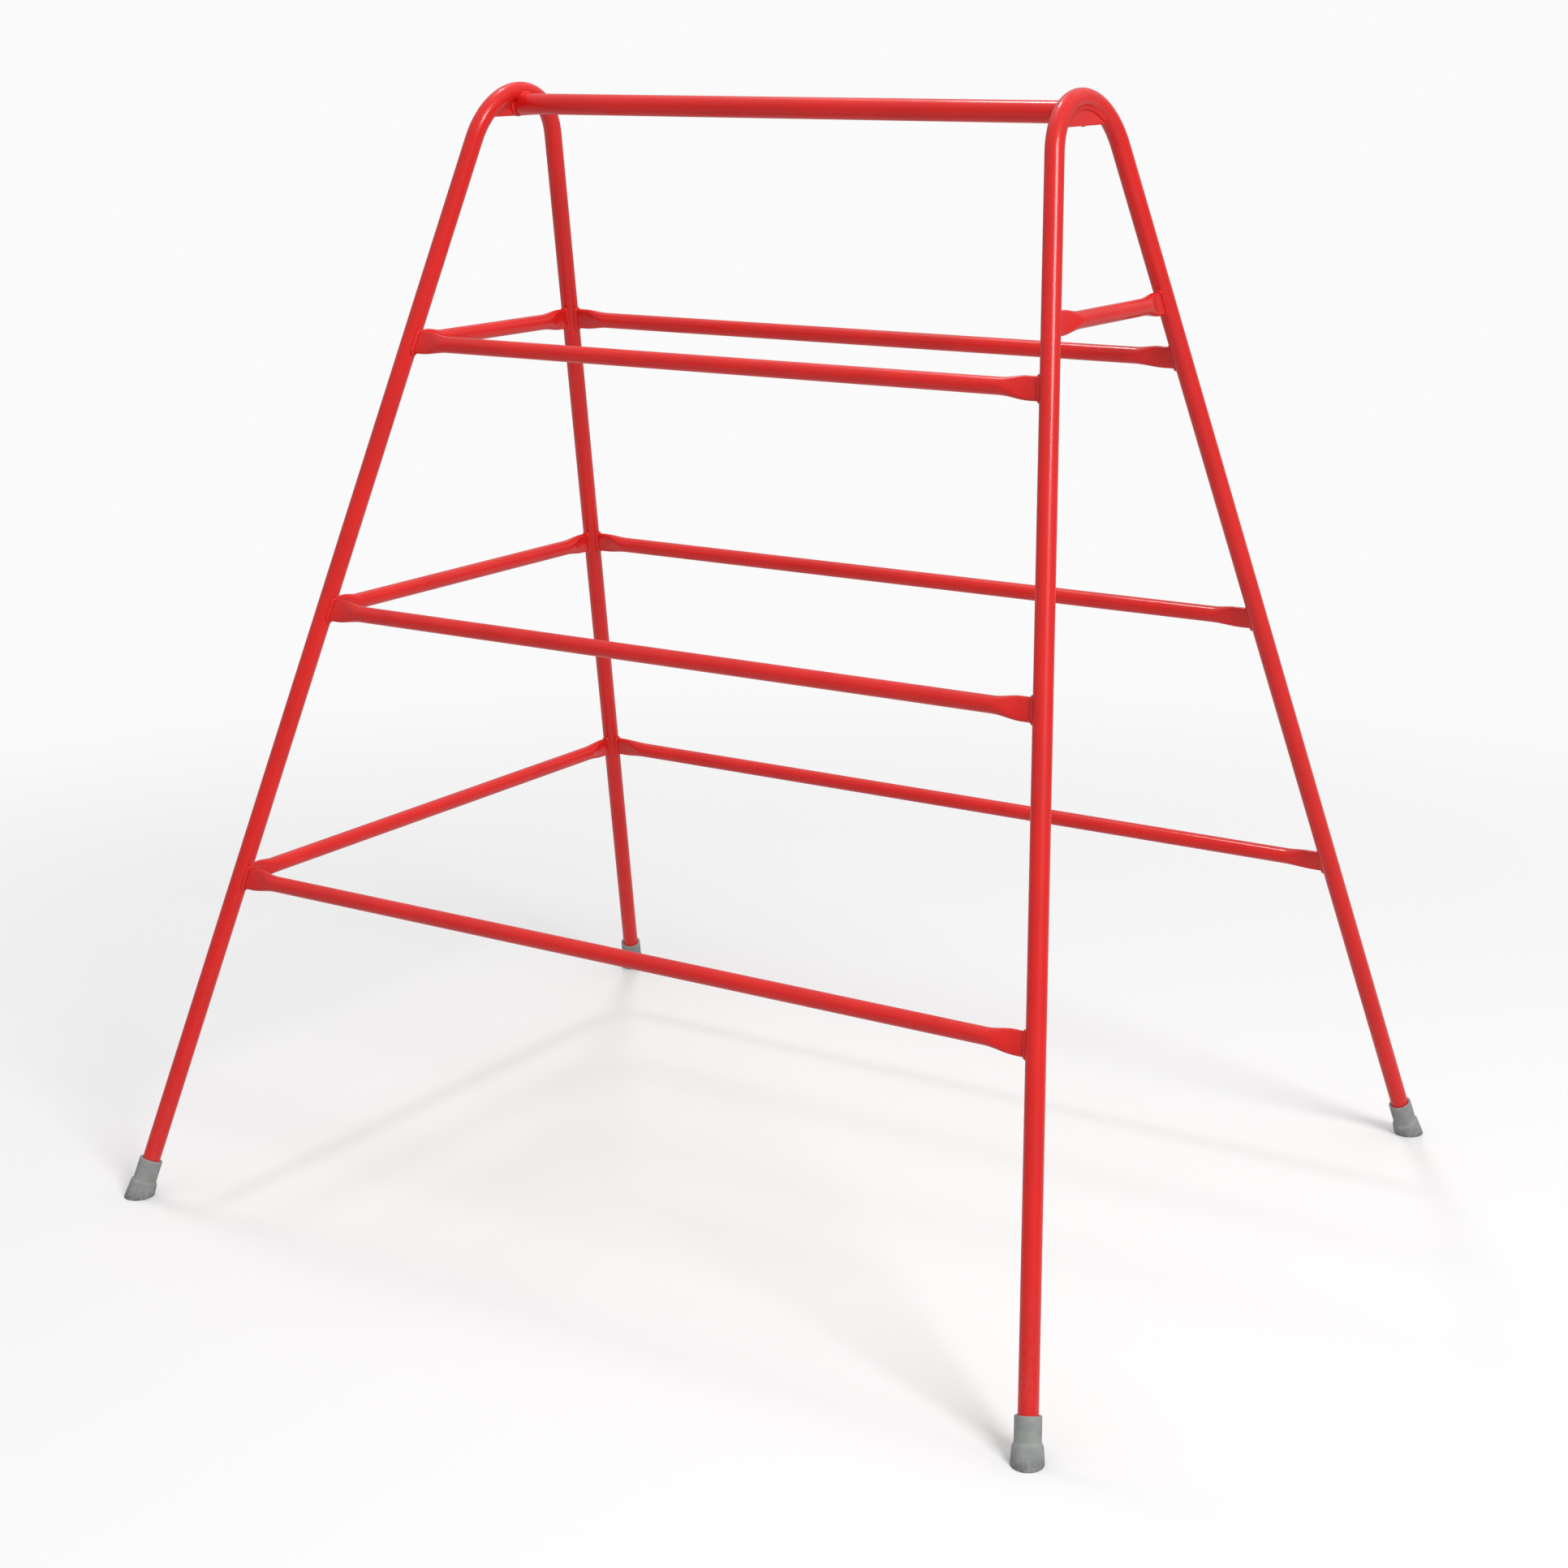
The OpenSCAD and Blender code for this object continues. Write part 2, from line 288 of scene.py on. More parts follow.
class Graph:
    """Adds nodes to a tree, and wires or sets their inputs."""

    def __init__(self, tree):
        self.tree = tree

    def node(self, kind, inputs=None, **settings):
        made = self.tree.nodes.new(kind)
        for name, value in settings.items():
            setattr(made, name, value)
        for name, value in (inputs or {}).items():
            self.feed(made.inputs[name], value)
        return made

    def feed(self, socket, value):
        value = value.socket if isinstance(value, Amount) else value
        if isinstance(value, bpy.types.NodeSocket):
            self.tree.links.new(value, socket)
        else:
            socket.default_value = value

    def maths(self, operation, *values):
        made = self.node("ShaderNodeMath", operation=operation)
        for socket, value in zip(made.inputs, values):
            self.feed(socket, value)
        return Amount(self, made.outputs[0])

    def clamp(self, value, low=0.0, high=1.0):
        return self.maths("MAXIMUM", self.maths("MINIMUM", value, high), low)

    def smooth_step(self, value, low, high):
        """From 0 below low to 1 above high."""
        made = self.node(
            "ShaderNodeMapRange", {"Value": value, "From Min": low, "From Max": high},
            interpolation_type="SMOOTHSTEP",
        )
        return Amount(self, made.outputs["Result"])

    def arrange(self):
        """Lays the nodes out in columns, each to the left of what it feeds."""
        column_w, row_h = 220, 190
        depth = {node: 0 for node in self.tree.nodes}
        for _ in self.tree.nodes:
            for link in self.tree.links:
                depth[link.from_node] = max(depth[link.from_node], depth[link.to_node] + 1)
        rows = {}
        for node, column in depth.items():
            rows[column] = rows.get(column, 0) + 1
            node.location = (-column_w * column, -row_h * rows[column])


SOCKET_KINDS = {float: "NodeSocketFloat", int: "NodeSocketInt", str: "NodeSocketMaterial"}


def new_group(name, kind, inputs, outputs):
    """A node group with named inputs and outputs, its Graph, its inputs by name, and its output node."""
    tree = bpy.data.node_groups.new(name, kind)
    for title, value in inputs.items():
        if value is None:
            tree.interface.new_socket(title, in_out="INPUT", socket_type="NodeSocketGeometry")
            continue
        socket = tree.interface.new_socket(title, in_out="INPUT", socket_type=SOCKET_KINDS[type(value)])
        if not isinstance(value, str):
            socket.default_value = value
    for title, socket_type in outputs.items():
        tree.interface.new_socket(title, in_out="OUTPUT", socket_type=socket_type)
    graph = Graph(tree)
    given = graph.node("NodeGroupInput").outputs
    amounts = {title: given[title] if value is None or isinstance(value, str) else Amount(graph, given[title])
               for title, value in inputs.items()}
    return graph, amounts, graph.node("NodeGroupOutput")


def finish_shape_tree(graph, given, output, mesh):
    """Ends a geometry tree: smooth, realised and with its material."""
    smooth = graph.node("GeometryNodeSetShadeSmooth", {"Geometry": mesh, "Shade Smooth": True})
    real = graph.node("GeometryNodeRealizeInstances", {"Geometry": smooth.outputs[0]})
    coated = graph.node(
        "GeometryNodeSetMaterial", {"Geometry": real.outputs[0], "Material": given["Material"]}
    )
    graph.feed(output.inputs[0], coated.outputs[0])
    graph.arrange()
    return graph.tree


def section_ring(graph, given, radius):
    """The round section that a tube or a bead carries along its path."""
    ring = graph.node(
        "GeometryNodeCurvePrimitiveCircle", {"Resolution": given["Sides"], "Radius": given[radius]}
    )
    return ring.outputs[0]


def bent_tube_tree():
    """A tube along a line of corner points, bent to one radius at each corner."""
    graph, given, output = new_group(
        "Bent tube", "GeometryNodeTree",
        {"Path": None, "Tube radius": 0.01, "Bend radius": 0.08, "Bend steps": 48, "Sides": 48,
         "Material": ""},
        {"Geometry": "NodeSocketGeometry"},
    )
    line = graph.node("GeometryNodeMeshToCurve", {"Mesh": given["Path"]})
    bent = graph.node("GeometryNodeFilletCurve", mode="POLY")
    graph.feed(bent.inputs["Curve"], line.outputs[0])
    graph.feed(bent.inputs["Count"], given["Bend steps"])
    graph.feed(bent.inputs["Radius"], given["Bend radius"])
    ring = section_ring(graph, given, "Tube radius")
    tube = graph.node(
        "GeometryNodeCurveToMesh", {"Curve": bent.outputs[0], "Profile Curve": ring, "Fill Caps": True}
    )
    return finish_shape_tree(graph, given, output, tube.outputs[0])


def squashed_tube_tree():
    """A tube along Z whose ends are squashed flat in X, and sheared so that each flat lies along its leg."""
    graph, given, output = new_group(
        "Squashed tube", "GeometryNodeTree",
        {"Length": 1.0, "Diameter": 0.02, "End thickness": 0.0065, "Flat length": 0.014, "Taper": 0.036,
         "End shear": 0.1, "Sink": 0.001, "Rings": 26, "Sides": 48, "Material": ""},
        {"Geometry": "NodeSocketGeometry"},
    )
    segments = given["Rings"] * 2.0 - 1.0
    blank = graph.node(
        "GeometryNodeMeshCylinder",
        {"Vertices": given["Sides"], "Side Segments": segments, "Radius": 1.0, "Depth": 2.0},
        fill_type="NGON",
    )
    position = graph.node("GeometryNodeInputPosition").outputs[0]
    parts = graph.node("ShaderNodeSeparateXYZ", {"Vector": position})
    round_x, round_y, level = (Amount(graph, socket) for socket in parts.outputs)
    end = graph.maths("SIGN", level)
    # Rings bunch up in the two end zones: ring 0 starts the taper and the last ring lies inside the leg
    ring = (graph.maths("ABSOLUTE", level) * segments - 1.0) / 2.0
    inward = 1.0 - ring / (given["Rings"] - 1.0)
    zone = given["Flat length"] + given["Taper"] + given["Sink"]
    from_leg = inward * zone - given["Sink"]
    opened = graph.clamp((from_leg - given["Flat length"]) / given["Taper"])
    ease = (1.0 - graph.maths("COSINE", opened * pi)) / 2.0
    thickness = given["End thickness"] + (given["Diameter"] - given["End thickness"]) * ease
    straight = (given["Diameter"] - thickness) * (pi / 4)
    half = thickness / 2.0
    across = half * round_x
    sharp = 1000.0  # turns a step off the middle into the whole of one half
    wide = half * round_y + graph.clamp(round_y * sharp, -1.0, 1.0) * straight
    along = end * (given["Length"] / 2.0 - from_leg + wide * given["End shear"] * (1.0 - opened))
    place = graph.node("ShaderNodeCombineXYZ", {"X": across, "Y": wide, "Z": along})
    shaped = graph.node(
        "GeometryNodeSetPosition", {"Geometry": blank.outputs[0], "Position": place.outputs[0]}
    )
    return finish_shape_tree(graph, given, output, shaped.outputs[0])


def weld_bead_tree():
    """A rippled bead along a path, that thins out at both ends of an open path."""
    graph, given, output = new_group(
        "Weld bead", "GeometryNodeTree",
        {"Path": None, "Bead radius": 0.0025, "Ripple pitch": 0.003, "Ripple depth": 0.1, "End taper": 0.0001,
         "Step": 0.0006, "Sides": 12, "Material": ""},
        {"Geometry": "NodeSocketGeometry"},
    )
    line = graph.node("GeometryNodeMeshToCurve", {"Mesh": given["Path"]})
    fine = graph.node("GeometryNodeResampleCurve", mode="LENGTH")
    graph.feed(fine.inputs["Curve"], line.outputs[0])
    graph.feed(fine.inputs["Length"], given["Step"])
    place = graph.node("GeometryNodeSplineParameter")
    share_along, run = (Amount(graph, place.outputs[name]) for name in ("Factor", "Length"))
    total = Amount(graph, graph.node("GeometryNodeSplineLength").outputs["Length"])
    turns = graph.maths("ROUND", total / given["Ripple pitch"])
    ripple = 1.0 + given["Ripple depth"] * graph.maths("SINE", share_along * turns * (2 * pi))
    nearest_end = graph.maths("MINIMUM", run, total - run)
    thinnest = 0.05
    taper = graph.maths("SQRT", graph.clamp(nearest_end / given["End taper"], thinnest, 1.0))
    ring = section_ring(graph, given, "Bead radius")
    bead = graph.node(
        "GeometryNodeCurveToMesh",
        {"Curve": fine.outputs[0], "Profile Curve": ring, "Scale": ripple * taper, "Fill Caps": True},
    )
    return finish_shape_tree(graph, given, output, bead.outputs[0])


def path_mesh(points, closed=False):
    """Points joined by edges, for a tree that follows a path."""
    edges = [(i, i + 1) for i in range(len(points) - 1)]
    if closed:
        edges.append((len(points) - 1, 0))
    mesh = bpy.data.meshes.new("path")
    mesh.from_pydata(points, edges, [])
    return mesh


def run_tree(tree, seed, **sizes):
    """The plain mesh that a geometry tree makes from a seed mesh and these inputs. Words of an input are
    joined by underscores."""
    holder = bpy.data.objects.new("holder", seed)
    bpy.context.scene.collection.objects.link(holder)
    modifier = holder.modifiers.new("Shape", "NODES")
    modifier.node_group = tree
    sockets = {item.name: item.identifier for item in tree.interface.items_tree if item.in_out == "INPUT"}
    for name, value in sizes.items():
        modifier[sockets[name.replace("_", " ").capitalize()]] = value
    evaluated = holder.evaluated_get(bpy.context.evaluated_depsgraph_get())
    mesh = bpy.data.meshes.new_from_object(evaluated)
    bpy.data.objects.remove(holder)
    bpy.data.meshes.remove(seed)
    return mesh


def shared_tree(name):
    """The named node tree, built when it is first asked for."""
    makers = {
        "Bent tube": bent_tube_tree, "Squashed tube": squashed_tube_tree, "Weld bead": weld_bead_tree,
        "Surface skin": skin_group, "Use marks": marks_group,
    }
    return bpy.data.node_groups.get(name) or makers[name]()


# ---- Materials ----


def noise(graph, scale, detail=2.0, roughness=0.5, place=None):
    made = graph.node("ShaderNodeTexNoise", {"Scale": scale, "Detail": detail, "Roughness": roughness})
    if place is None:
        place = graph.node("ShaderNodeTexCoord").outputs["Object"]
    graph.feed(made.inputs["Vector"], place)
    return Amount(graph, made.outputs["Fac"])


def skin_group():
    """Fine relief of a surface, and a slow mottling of its tone."""
    graph, given, output = new_group(
        "Surface skin", "ShaderNodeTree",
        {"Relief scale": 600.0, "Fine scale": 2400.0, "Fine share": 0.2, "Mottle scale": 14.0},
        {"Height": "NodeSocketFloat", "Mottle": "NodeSocketFloat"},
    )
    relief = noise(graph, given["Relief scale"])
    fine = noise(graph, given["Fine scale"], detail=1.0)
    mottle = noise(graph, given["Mottle scale"], detail=4.0, roughness=0.55)
    graph.feed(output.inputs["Height"], relief + fine * given["Fine share"])
    graph.feed(output.inputs["Mottle"], graph.smooth_step(mottle, 0.35, 0.65))
    graph.arrange()
    return graph.tree


def marks_group():
    """Rub marks from hands and shoes on what faces up, short scratches, and a grainy mask near the floor,
    which is dust on the coat and the washers and painted shade on the feet.
    """
    graph, given, output = new_group(
        "Use marks", "ShaderNodeTree",
        {"Rub amount": 0.3, "Scratch amount": 0.3, "Dust amount": 0.3, "Dust height": 0.06},
        {"Rub": "NodeSocketFloat", "Scratch": "NodeSocketFloat", "Dust": "NodeSocketFloat"},
    )
    place = graph.node("ShaderNodeTexCoord").outputs["Object"]
    height = Amount(graph, graph.node("ShaderNodeSeparateXYZ", {"Vector": place}).outputs["Z"])
    normal = graph.node("ShaderNodeNewGeometry").outputs["Normal"]
    facing_up = Amount(graph, graph.node("ShaderNodeSeparateXYZ", {"Vector": normal}).outputs["Z"])
    patches = graph.smooth_step(noise(graph, 9.0, detail=3.0, roughness=0.6, place=place), 0.52, 0.72)
    rub = patches * graph.smooth_step(facing_up, 0.1, 0.9) * given["Rub amount"]
    # Two stretched noises, each thin across its own direction, make short scratches
    scratches = None
    for stretch in ((30.0, 900.0, 700.0), (800.0, 60.0, 500.0)):
        turned = graph.node(
            "ShaderNodeMapping", {"Vector": place, "Scale": stretch, "Rotation": (0.4, 0.3, 0.5)}
        )
        line = graph.smooth_step(noise(graph, 1.0, detail=0.0, place=turned.outputs[0]), 0.70, 0.76)
        scratches = line if scratches is None else graph.maths("MAXIMUM", scratches, line)
    where = graph.smooth_step(noise(graph, 5.0, place=place), 0.50, 0.68)
    low = 1.0 - graph.smooth_step(height, 0.0, given["Dust height"])
    grains = graph.smooth_step(noise(graph, 170.0, detail=4.0, roughness=0.7, place=place), 0.30, 0.75)
    graph.feed(output.inputs["Rub"], rub)
    graph.feed(output.inputs["Scratch"], scratches * where * given["Scratch amount"])
    # On the feet this mask carries painted shade near the floor; on the coat and the washers it is dust
    graph.feed(output.inputs["Dust"], low * grains * given["Dust amount"])
    graph.arrange()
    return graph.tree


def place_group(graph, group, **inputs):
    """A shader group placed in a material with its own values, as its outputs by name."""
    made = graph.node("ShaderNodeGroup", node_tree=shared_tree(group))
    for name, value in inputs.items():
        made.inputs[name.replace("_", " ").capitalize()].default_value = value
    return {socket.name: Amount(graph, socket) for socket in made.outputs}


def blend_colours(graph, factor, first, second):
    made = graph.node("ShaderNodeMix", data_type="RGBA")
    socket = {s.identifier: s for s in made.inputs}
    graph.feed(socket["Factor_Float"], factor)
    for name, tone in (("A_Color", first), ("B_Color", second)):
        graph.feed(socket[name], tone if isinstance(tone, bpy.types.NodeSocket) else (*tone, 1.0))
    return next(s for s in made.outputs if s.identifier == "Result_Color")


def finish(name):
    """The named finish, made when it is first asked for."""
    makers = {"powder_coat": powder_coat, "moulded_rubber": moulded_rubber, "plated_steel": plated_steel}
    return bpy.data.materials.get(name) or makers[name]()


def new_finish(name):
    """A new material with a Principled shader, and its Graph."""
    material = bpy.data.materials.new(name)
    material.use_nodes = True
    graph = Graph(material.node_tree)
    return material, graph, material.node_tree.nodes["Principled BSDF"]


def bump(graph, height, distance):
    return graph.node("ShaderNodeBump", {"Height": height, "Distance": distance}).outputs["Normal"]


def powder_coat():
    """Glossy red powder coat: orange peel, slow mottling, and light rub marks."""
    tones = bpy.context.scene.trestle_finishes
    material, graph, shader = new_finish("powder_coat")
    skin = place_group(
        graph, "Surface skin", Relief_scale=420.0, Fine_scale=1900.0, Fine_share=0.15, Mottle_scale=11.0
    )
    marks = place_group(
        graph, "Use marks", Rub_amount=0.5, Scratch_amount=0.35, Dust_amount=0.25, Dust_height=0.25
    )
    tone = blend_colours(graph, skin["Mottle"] * 0.35, tones.coat_red, tones.coat_shade)
    tone = blend_colours(graph, marks["Dust"] * 0.3, tone, tones.floor_dust)
    worn_gain, worn_lift = 1.25, 0.03
    worn = [min(1.0, worn_gain * c + worn_lift) for c in tones.coat_red]
    tone = blend_colours(graph, marks["Scratch"], tone, worn)
    graph.feed(shader.inputs["Base Color"], tone)
    graph.feed(shader.inputs["Specular IOR Level"], 0.28)
    roughness = 0.34 + skin["Mottle"] * 0.06 + marks["Rub"] * 0.25 + marks["Dust"] * 0.3
    graph.feed(shader.inputs["Roughness"], roughness)
    graph.feed(shader.inputs["Normal"], bump(graph, skin["Height"] - marks["Scratch"] * 0.5, 0.0001))
    graph.feed(shader.inputs["Coat Weight"], tones.coat_gloss)
    graph.feed(shader.inputs["Coat Roughness"], 0.10)
    graph.arrange()
    return material


def moulded_rubber():
    """Grey moulded rubber: fine grain, scuffs, and painted shade darkening the bottom of each foot near the
    floor.
    """
    tones = bpy.context.scene.trestle_finishes
    material, graph, shader = new_finish("moulded_rubber")
    skin = place_group(
        graph, "Surface skin", Relief_scale=900.0, Fine_scale=3200.0, Fine_share=0.5, Mottle_scale=60.0
    )
    # Here the Dust mask is painted shade, reaching 16 mm up from the floor
    marks = place_group(
        graph, "Use marks", Rub_amount=0.4, Scratch_amount=0.5, Dust_amount=0.8, Dust_height=0.016
    )
    tone = blend_colours(graph, skin["Mottle"] * 0.6, tones.rubber_grey, tones.rubber_shade)
    tone = blend_colours(graph, marks["Scratch"] * 0.4, tone, tones.floor_dust)
    # Painted shade: the Dust mask darkens the bottom of each foot towards near black
    graph.feed(shader.inputs["Base Color"], blend_colours(graph, marks["Dust"], tone, tones.painted_foot_shade))
    graph.feed(shader.inputs["Roughness"], 0.66 + skin["Mottle"] * 0.14 + marks["Dust"] * 0.2)
    graph.feed(shader.inputs["Normal"], bump(graph, skin["Height"], 0.0001))
    graph.feed(shader.inputs["Specular IOR Level"], 0.35)
    graph.arrange()
    return material


def plated_steel():
    """Bright plated steel for the washers in the feet."""
    tones = bpy.context.scene.trestle_finishes
    material, graph, shader = new_finish("plated_steel")
    skin = place_group(
        graph, "Surface skin", Relief_scale=1500.0, Fine_scale=5000.0, Fine_share=0.4, Mottle_scale=90.0
    )
    marks = place_group(
        graph, "Use marks", Rub_amount=0.4, Scratch_amount=0.8, Dust_amount=0.3, Dust_height=0.02
    )
    dull = [0.8 * c for c in tones.plated_steel]
    tone = blend_colours(graph, skin["Mottle"] * 0.5, tones.plated_steel, dull)
    graph.feed(shader.inputs["Base Color"], blend_colours(graph, marks["Dust"], tone, tones.floor_dust))
    graph.feed(shader.inputs["Metallic"], 1.0)
    graph.feed(shader.inputs["Roughness"], 0.26 + skin["Mottle"] * 0.1 + marks["Scratch"] * 0.3)
    graph.feed(shader.inputs["Normal"], bump(graph, skin["Height"], 0.00003))
    graph.arrange()
    return material


# ---- Pieces ----


def add_piece(name, meshes, slot, *nodes):
    """Joins meshes into one piece that stands for these CAD nodes, hangs it under the root body and hides
    those nodes.
    """
    mesh = bpy.data.meshes.new(name)
    joined = bmesh.new()
    for part in meshes:
        joined.from_mesh(part)
    for face in joined.faces:
        face.material_index = 0
    joined.to_mesh(mesh)
    joined.free()
    mesh.materials.append(next(material for material in meshes[0].materials if material))
    for part in meshes:
        bpy.data.meshes.remove(part)
    piece = bpy.data.objects.new(name, mesh)
    bpy.context.scene.collection.objects.link(piece)
    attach(piece, "root")
    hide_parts(*nodes)
    return piece


def closed_mesh(name, shape, material):
    """The mesh of a closed bmesh shape, with its faces outwards and its material."""
    bmesh.ops.recalc_face_normals(shape, faces=shape.faces)
    mesh = bpy.data.meshes.new(name)
    shape.to_mesh(mesh)
    shape.free()
    mesh.materials.append(material)
    return mesh


def lathed_mesh(name, rings, material):
    """A closed smooth mesh through rings of points, with a flat face on the first and on the last ring."""
    shape = bmesh.new()
    loops = [[shape.verts.new(point) for point in ring] for ring in rings]
    for lower, upper in zip(loops, loops[1:]):
        for i in range(len(lower)):
            j = (i + 1) % len(lower)
            shape.faces.new((lower[i], lower[j], upper[j], upper[i])).smooth = True
    for loop in (loops[0], loops[-1]):
        shape.faces.new(loop)
    return closed_mesh(name, shape, material)


def axes_matrix(x_axis, y_axis, z_axis, origin):
    matrix = Matrix((x_axis, y_axis, z_axis)).transposed().to_4x4()
    matrix.translation = origin
    return matrix


def bead_along(points, closed):
    """The mesh of a weld bead along points. An open bead thins out over two of its radii."""
    welds = bpy.context.scene.trestle_welds
    return run_tree(
        shared_tree("Weld bead"), path_mesh(points, closed),
        bead_radius=welds.bead_r, ripple_pitch=welds.ripple_pitch, ripple_depth=welds.ripple_depth,
        end_taper=NO_TAPER if closed else 2 * welds.bead_r, material=finish("powder_coat"),
    )


def squash_outline(diameter, thickness, steps=96):
    """Points around a squashed tube end, as (across, wide)."""
    straight = pi * (diameter - thickness) / 4
    points = []
    for step in range(steps):
        angle = 2 * pi * (step + 0.5) / steps
        wide = thickness / 2 * sin(angle)
        points.append((thickness / 2 * cos(angle), wide + (straight if wide > 0 else -straight)))
    return points


class RailLine:
    """A rail between two legs: its ends on their centre lines, its axes, and how its ends meet the legs."""

    def __init__(self, first, last, leg_at_last):
        self.ends = (first, last)
        self.axis = (last - first).normalized()
        self.wide = (leg_at_last - leg_at_last.dot(self.axis) * self.axis).normalized()
        self.across = self.wide.cross(self.axis)
        self.shear = leg_at_last.dot(self.axis) / leg_at_last.dot(self.wide)
        self.leg = leg_at_last

    def matrix(self):
        return axes_matrix(self.across, self.wide, self.axis, (self.ends[0] + self.ends[1]) / 2)


def weld_ring(line, end, leg_r, outline):
    """Points around a squashed end on its leg's surface. end is 0 for the first end and 1 for the last."""
    inward = line.axis if end == 0 else -line.axis
    mirrored = -1 if end == 0 else 1
    slant = sqrt(1 - line.leg.dot(line.axis) ** 2)
    ring = []
    for across, wide in outline:
        reach = sqrt(max(leg_r ** 2 - across ** 2, 0.0)) / slant
        along_leg = wide * (line.wide + mirrored * line.shear * line.axis)
        ring.append(line.ends[end] + across * line.across + along_leg + reach * inward)
    return ring


def squashed_rail(name, line, leg_r):
    """A rail or bar with squashed ends, welded to its legs all round."""
    tubes, welds = bpy.context.scene.trestle_tubes, bpy.context.scene.trestle_welds
    gap = leg_r * sqrt(1 + line.shear ** 2)
    tube = run_tree(
        shared_tree("Squashed tube"), bpy.data.meshes.new("seed"),
        length=(line.ends[1] - line.ends[0]).length - 2 * gap, diameter=tubes.rail_d,
        end_thickness=tubes.flat_t, flat_length=tubes.flat_length, taper=tubes.flat_taper,
        end_shear=line.shear, sink=2 * welds.sink, sides=tubes.sides, material=finish("powder_coat"),
    )
    tube.transform(line.matrix())
    outline = squash_outline(tubes.rail_d, tubes.flat_t)
    beads = [bead_along(weld_ring(line, end, leg_r, outline), True) for end in (0, 1)]
    return add_piece(name + "_coated", [tube, *beads], COAT_SLOT, name)


class TRESTLE_OT_hoops(bpy.types.Operator):
    """Add the two leaning hoops, each one bent tube"""

    bl_idname = "trestle.hoops"
    bl_label = "Hoops"

    def execute(self, context):
        tubes = context.scene.trestle_tubes
        stand = Stand(tubes.hoop_d / 2)
        apex_up = stand.foot_y / tan(stand.leg_angle)
        for side, word in SIDE_WORD.items():
            corners = [
                stand.on_leg(side, FRONT, tubes.leg_start),
                stand.in_plane(side, 0, apex_up),
                stand.on_leg(side, BACK, tubes.leg_start),
            ]
            tube = run_tree(
                shared_tree("Bent tube"), path_mesh(corners), tube_radius=stand.hoop_r,
                bend_radius=stand.bend_r, sides=tubes.sides, material=finish("powder_coat"),
            )
            add_piece(f"{word}_hoop_coated", [tube], COAT_SLOT, f"{word}_hoop")
        return {"FINISHED"}


class TRESTLE_OT_crown_plates(bpy.types.Operator):
    """Add the plate that fills the top of each hoop, with a bead along its rim on both faces"""

    bl_idname = "trestle.crown_plates"
    bl_label = "Crown plates"

    def execute(self, context):
        tubes, welds = context.scene.trestle_tubes, context.scene.trestle_welds
        stand = Stand(tubes.hoop_d / 2)
        for side, word in SIDE_WORD.items():
            node = f"{word}_crown_plate"
            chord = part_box(node)[0].z / cos(stand.lean) - stand.bend_up
            plate = self.plate_mesh(stand, side, chord, tubes.plate_t, tubes.plate_edge, welds.sink)
            beads = [self.rim_bead(stand, side, chord, out, welds.bead_r)
                     for out in (-tubes.plate_t / 2, tubes.plate_t / 2)]
            add_piece(node + "_coated", [plate, *beads], COAT_SLOT, node)
        return {"FINISHED"}

    def arc(self, stand, radius, chord, steps=64):
        """Points of the circle around the bend's centre above a chord, as (across, up)."""
        start = atan(chord / sqrt(radius ** 2 - chord ** 2))
        angles = [start + (pi - 2 * start) * step / steps for step in range(steps + 1)]
        return [(radius * cos(angle), stand.bend_up + radius * sin(angle)) for angle in angles]

    def plate_mesh(self, stand, side, chord, thickness, edge, sink):
        """The plate, with its lower edge rounded on both faces."""
        outline = self.arc(stand, stand.bend_r - stand.hoop_r + sink, chord)
        shape = bmesh.new()
        faces = []
        for out in (-thickness / 2, thickness / 2):
            faces.append([shape.verts.new(stand.in_plane(side, across, up, out)) for across, up in outline])
        for ring in faces:
            shape.faces.new(ring)
        count = len(outline)
        for i in range(count):
            j = (i + 1) % count
            shape.faces.new((faces[0][i], faces[0][j], faces[1][j], faces[1][i]))
        low_edges = [shape.edges.get((ring[0], ring[-1])) for ring in faces]
        bmesh.ops.bevel(shape, geom=low_edges, offset=edge, segments=3, affect="EDGES", profile=0.5)
        return closed_mesh("plate", shape, finish("powder_coat"))

    def rim_bead(self, stand, side, chord, out, bead_r):
        """The bead where one face of the plate meets the bend."""
        radius = stand.bend_r - sqrt(stand.hoop_r ** 2 - out ** 2)
        arc = self.arc(stand, radius, chord + bead_r)
        return bead_along([stand.in_plane(side, across, up, out) for across, up in arc], False)


